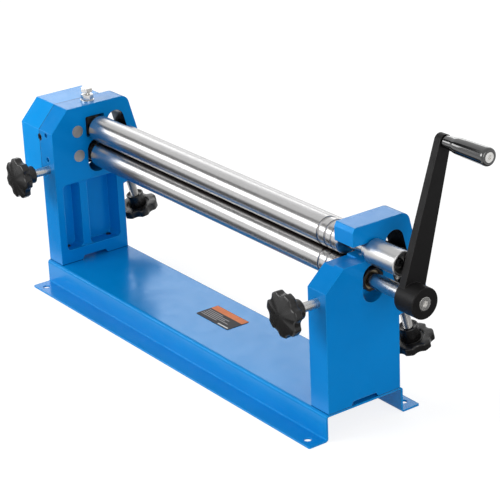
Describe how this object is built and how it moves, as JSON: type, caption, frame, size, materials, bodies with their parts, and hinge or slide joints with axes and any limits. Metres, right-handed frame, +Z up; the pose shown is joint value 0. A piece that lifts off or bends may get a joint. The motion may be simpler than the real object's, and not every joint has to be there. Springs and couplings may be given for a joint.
{
  "type": "slip roll machine",
  "caption": "Bench slip roll with geared pinch rolls, an adjustable rear bending roll, a swing-out upper roll, a crank with a turning grip, and star-knob adjusting screws.",
  "frame": {"origin": "centre of the four bench holes, on the bench plane under the base", "axes": "+X along the rolls towards the crank, +Y to the rear, +Z up"},
  "size_m": [0.7036, 0.1921, 0.3178],
  "materials": {
    "blue_paint": "gloss enamel",
    "label_sheet": "printed film",
    "polished_steel": "polished",
    "bright_steel": "bright turned",
    "gear_steel": "hobbed",
    "black_screw_steel": "black oxide",
    "bush_bronze": "turned bronze",
    "black_casting": "satin black",
    "knob_plastic": "satin moulded",
    "grip_plastic": "gloss moulded"
  },
  "bodies": {
    "stand": {"base_channel": "blue_paint", "label_plate": "label_sheet", "left_frame": "blue_paint", "right_frame": "blue_paint", "gear_cover": "blue_paint", "cover_screws": "black_screw_steel", "cover_seam_screw": "black_screw_steel", "frame_bolts": "bright_steel", "frame_washers": "bright_steel", "stud_set_screws": "black_screw_steel", "pivot_bolt": "bright_steel", "pivot_washer": "bright_steel", "pivot_jam_nut": "bright_steel", "upper_idler_stud": "bright_steel", "lower_idler_stud": "bright_steel", "idler_rings": "black_screw_steel"},
    "left_front_screw_body": {"left_front_screw": "bright_steel"},
    "right_front_screw_body": {"right_front_screw": "bright_steel"},
    "left_front_knob_body": {"left_front_knob": "knob_plastic"},
    "right_front_knob_body": {"right_front_knob": "knob_plastic"},
    "left_rear_screw_body": {"left_rear_screw": "bright_steel"},
    "right_rear_screw_body": {"right_rear_screw": "bright_steel"},
    "left_rear_knob_body": {"left_rear_knob": "knob_plastic"},
    "right_rear_knob_body": {"right_rear_knob": "knob_plastic"},
    "lower_carriage": {"left_lower_block": "black_screw_steel", "left_lower_bush": "bush_bronze", "right_lower_block": "black_screw_steel", "right_lower_bush": "bush_bronze"},
    "rear_carriage": {"left_rear_block": "black_screw_steel", "left_rear_bush": "bush_bronze", "right_rear_block": "black_screw_steel", "right_rear_bush": "bush_bronze"},
    "lower_roll_body": {"lower_roll": "polished_steel", "lower_roll_gear": "gear_steel", "lower_gear_key": "gear_steel", "lower_gear_washer": "bright_steel", "lower_gear_screw": "black_screw_steel", "crank_arm": "black_casting", "crank_key": "gear_steel", "crank_screw": "bright_steel", "grip_spindle": "bright_steel"},
    "grip_body": {"grip": "grip_plastic"},
    "lower_idler": {"lower_idler_gear": "gear_steel"},
    "upper_idler": {"upper_idler_gear": "gear_steel"},
    "upper_swing": {"upper_bearing_block": "black_screw_steel"},
    "upper_roll_body": {"upper_roll": "polished_steel", "upper_roll_neck": "polished_steel", "upper_roll_gear": "gear_steel", "upper_gear_key": "gear_steel", "upper_gear_washer": "bright_steel", "upper_gear_screw": "black_screw_steel", "sleeve_retainer_washer": "bright_steel", "sleeve_retainer_screw": "black_screw_steel"},
    "sleeve": {"release_sleeve": "polished_steel"},
    "rear_roll_body": {"rear_roll": "polished_steel"}
  },
  "joints": [
    {"name": "right_front_screw_slide", "type": "slide", "parent": "stand", "child": "right_front_screw_body", "axis": [0, 1, 0], "range_m": [-0.001, 0.0003]},
    {"name": "right_front_knob_turn", "type": "hinge", "parent": "right_front_screw_body", "child": "right_front_knob_body", "pos_m": [0.25425, -0.08, 0.147], "axis": [0, 1, 0], "range_deg": [-240, 72]},
    {"name": "left_front_screw_slide", "type": "slide", "parent": "stand", "child": "left_front_screw_body", "axis": [0, 1, 0], "range_m": [-0.001, 0.0003]},
    {"name": "left_front_knob_turn", "type": "hinge", "parent": "left_front_screw_body", "child": "left_front_knob_body", "pos_m": [-0.25425, -0.08, 0.147], "axis": [0, 1, 0], "range_deg": [-240, 72]},
    {"name": "lower_carriage_slide", "type": "slide", "parent": "stand", "child": "lower_carriage", "axis": [0, 0, 1], "range_m": [-0.001, 0.0003]},
    {"name": "right_rear_screw_slide", "type": "slide", "parent": "stand", "child": "right_rear_screw_body", "axis": [0, -0.2588, 0.9659], "range_m": [-0.0135, 0.012]},
    {"name": "right_rear_knob_turn", "type": "hinge", "parent": "right_rear_screw_body", "child": "right_rear_knob_body", "pos_m": [0.25425, 0.06971, 0.08741], "axis": [0, -0.2588, 0.9659], "range_deg": [-3240, 2880]},
    {"name": "left_rear_screw_slide", "type": "slide", "parent": "stand", "child": "left_rear_screw_body", "axis": [0, -0.2588, 0.9659], "range_m": [-0.0135, 0.012]},
    {"name": "left_rear_knob_turn", "type": "hinge", "parent": "left_rear_screw_body", "child": "left_rear_knob_body", "pos_m": [-0.25425, 0.06971, 0.08741], "axis": [0, -0.2588, 0.9659], "range_deg": [-3240, 2880]},
    {"name": "rear_carriage_slide", "type": "slide", "parent": "stand", "child": "rear_carriage", "axis": [0, -0.2588, 0.9659], "range_m": [-0.0135, 0.012]},
    {"name": "crank_turn", "type": "hinge", "parent": "lower_carriage", "child": "lower_roll_body", "pos_m": [0, 0.0134, 0.159], "axis": [1, 0, 0], "continuous": true},
    {"name": "grip_spin", "type": "hinge", "parent": "lower_roll_body", "child": "grip_body", "pos_m": [0.3286, 0.05597, 0.30845], "axis": [1, 0, 0], "continuous": true},
    {"name": "lower_idler_spin", "type": "hinge", "parent": "stand", "child": "lower_idler", "pos_m": [-0.28, -0.01134, 0.1597], "axis": [1, 0, 0], "continuous": true},
    {"name": "upper_idler_spin", "type": "hinge", "parent": "stand", "child": "upper_idler", "pos_m": [-0.28, -0.01134, 0.1897], "axis": [1, 0, 0], "continuous": true},
    {"name": "upper_roll_swing", "type": "hinge", "parent": "stand", "child": "upper_swing", "pos_m": [-0.25425, 0.0134, 0.1904], "axis": [0, 0, -1], "range_deg": [0, 10]},
    {"name": "upper_roll_spin", "type": "hinge", "parent": "upper_swing", "child": "upper_roll_body", "pos_m": [0, 0.0134, 0.1904], "axis": [1, 0, 0], "continuous": true},
    {"name": "sleeve_slide", "type": "slide", "parent": "upper_swing", "child": "sleeve", "axis": [1, 0, 0], "range_m": [0, 0.0036]},
    {"name": "rear_roll_spin", "type": "hinge", "parent": "rear_carriage", "child": "rear_roll_body", "pos_m": [0, 0.04732, 0.17097], "axis": [1, 0, 0], "continuous": true}
  ],
  "couplings": [
    {"joint": "right_front_screw_slide", "follows": "lower_carriage_slide", "ratio": 1},
    {"joint": "right_front_knob_turn", "follows": "lower_carriage_slide", "rad_per_m": 4188.8},
    {"joint": "right_rear_screw_slide", "follows": "rear_carriage_slide", "ratio": 1},
    {"joint": "right_rear_knob_turn", "follows": "rear_carriage_slide", "rad_per_m": 4188.8},
    {"joint": "left_front_screw_slide", "follows": "lower_carriage_slide", "ratio": 1},
    {"joint": "left_front_knob_turn", "follows": "lower_carriage_slide", "rad_per_m": 4188.8},
    {"joint": "left_rear_screw_slide", "follows": "rear_carriage_slide", "ratio": 1},
    {"joint": "left_rear_knob_turn", "follows": "rear_carriage_slide", "rad_per_m": 4188.8},
    {"joint": "lower_idler_spin", "follows": "crank_turn", "ratio": -0.65},
    {"joint": "upper_idler_spin", "follows": "crank_turn", "ratio": 0.65},
    {"joint": "upper_roll_spin", "follows": "crank_turn", "ratio": -1}
  ]
}
